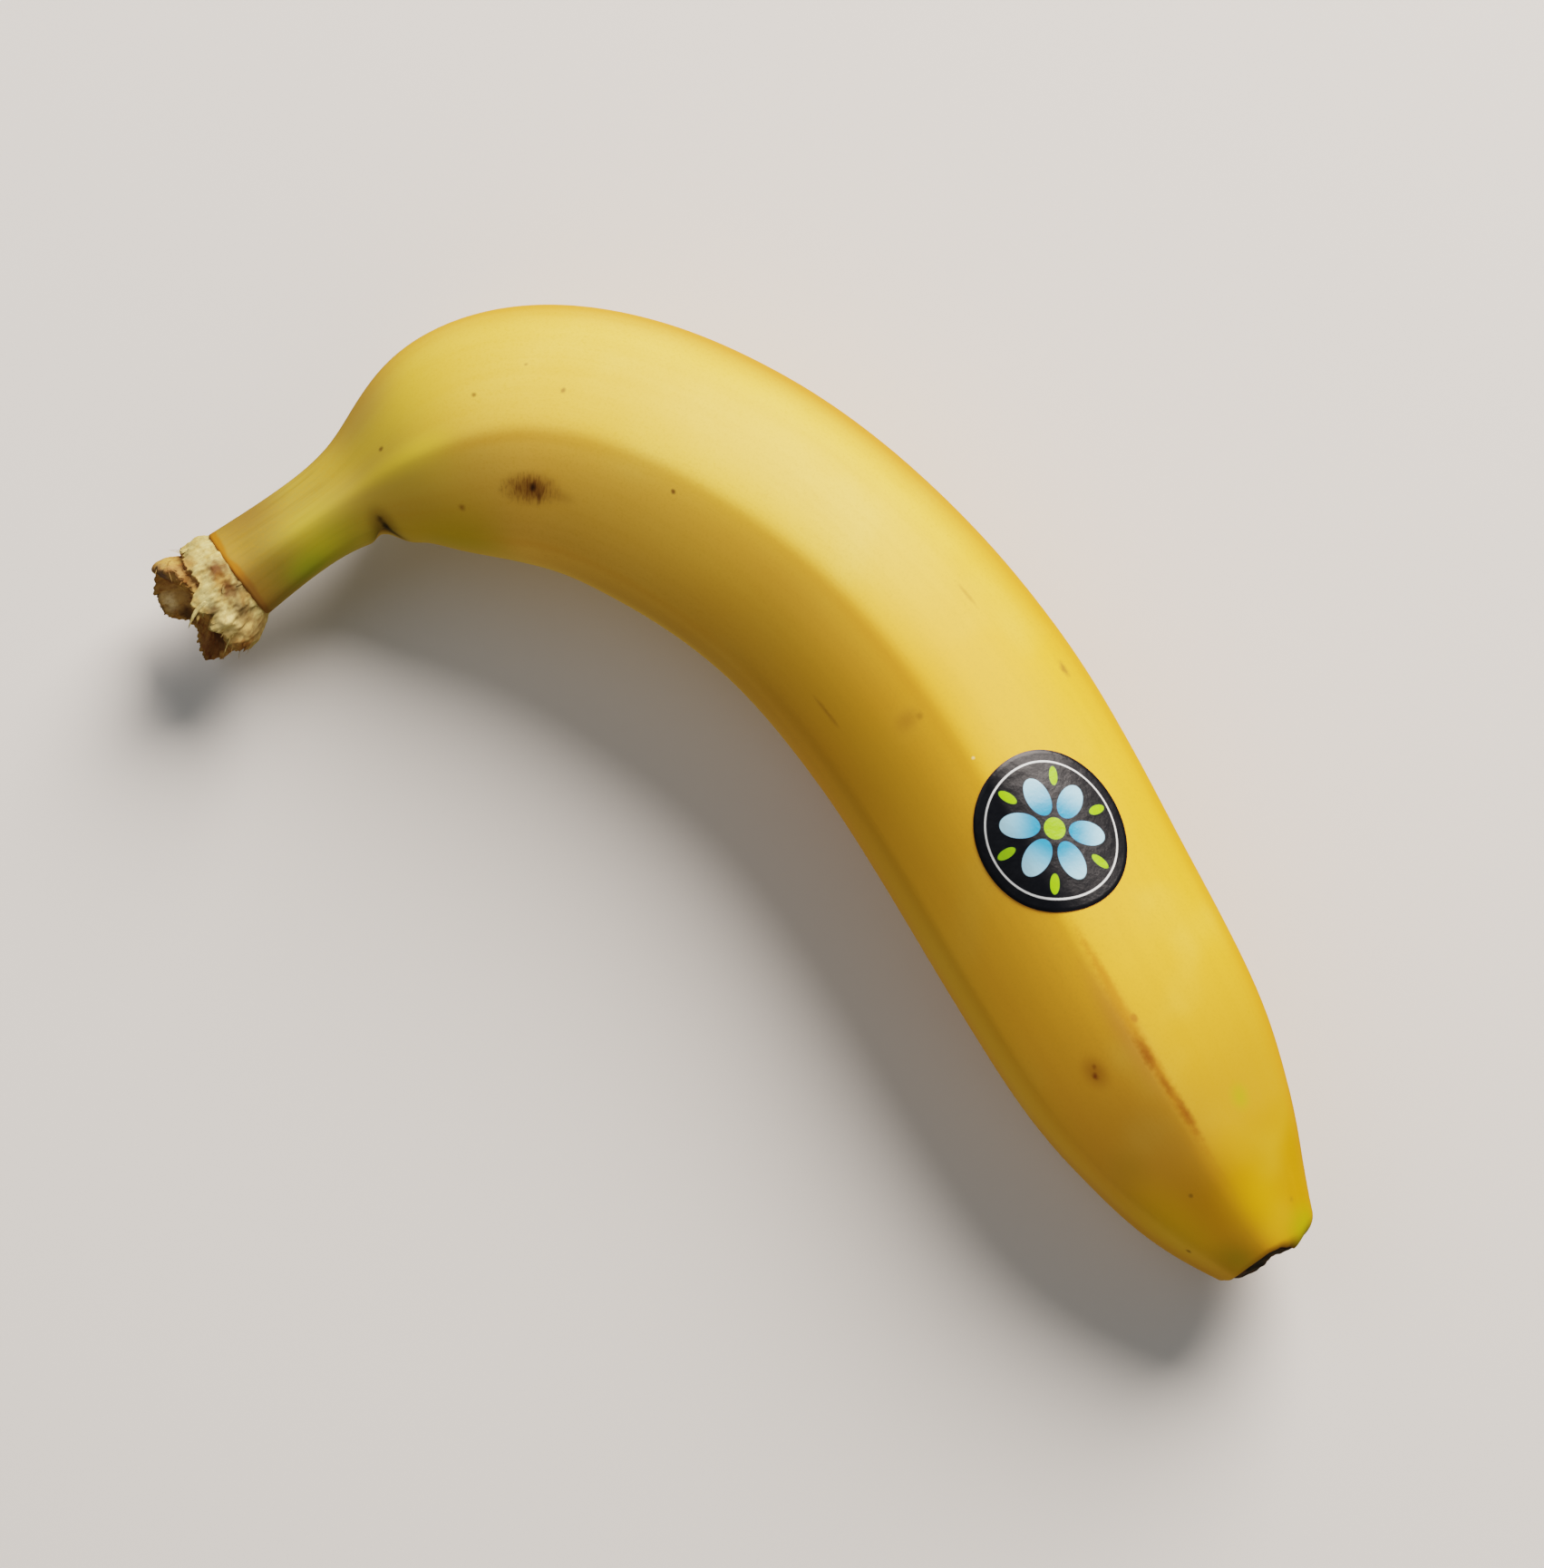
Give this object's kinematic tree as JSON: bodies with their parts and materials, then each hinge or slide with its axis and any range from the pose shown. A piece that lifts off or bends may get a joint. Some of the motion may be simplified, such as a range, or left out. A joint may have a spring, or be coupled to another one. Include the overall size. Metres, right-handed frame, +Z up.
{
  "type": "banana",
  "caption": "Ripe curved banana lying on its side, with a ridged peel, a torn stem end, a dried blossom tip and a round stuck-on label.",
  "frame": {"origin": "middle of the bounding box seen from above, at the level of the surface that the fruit rests on", "axes": "+X along the fruit's longest extent, from the stem end towards the blossom tip; +Y towards the outside of the bow; +Z up, away from the surface it lies on"},
  "size_m": [0.1888, 0.0764, 0.0386],
  "materials": {
    "peel": "satin, waxy ripe yellow peel with fine ridge lines and small brown marks",
    "torn_flesh": "matte, dried cream fibres browned at their edges",
    "dried_blossom": "matte, dark brown and dry",
    "label_film": null
  },
  "bodies": {
    "root": {"banana": "peel", "label": "label_film"}
  },
  "joints": []
}
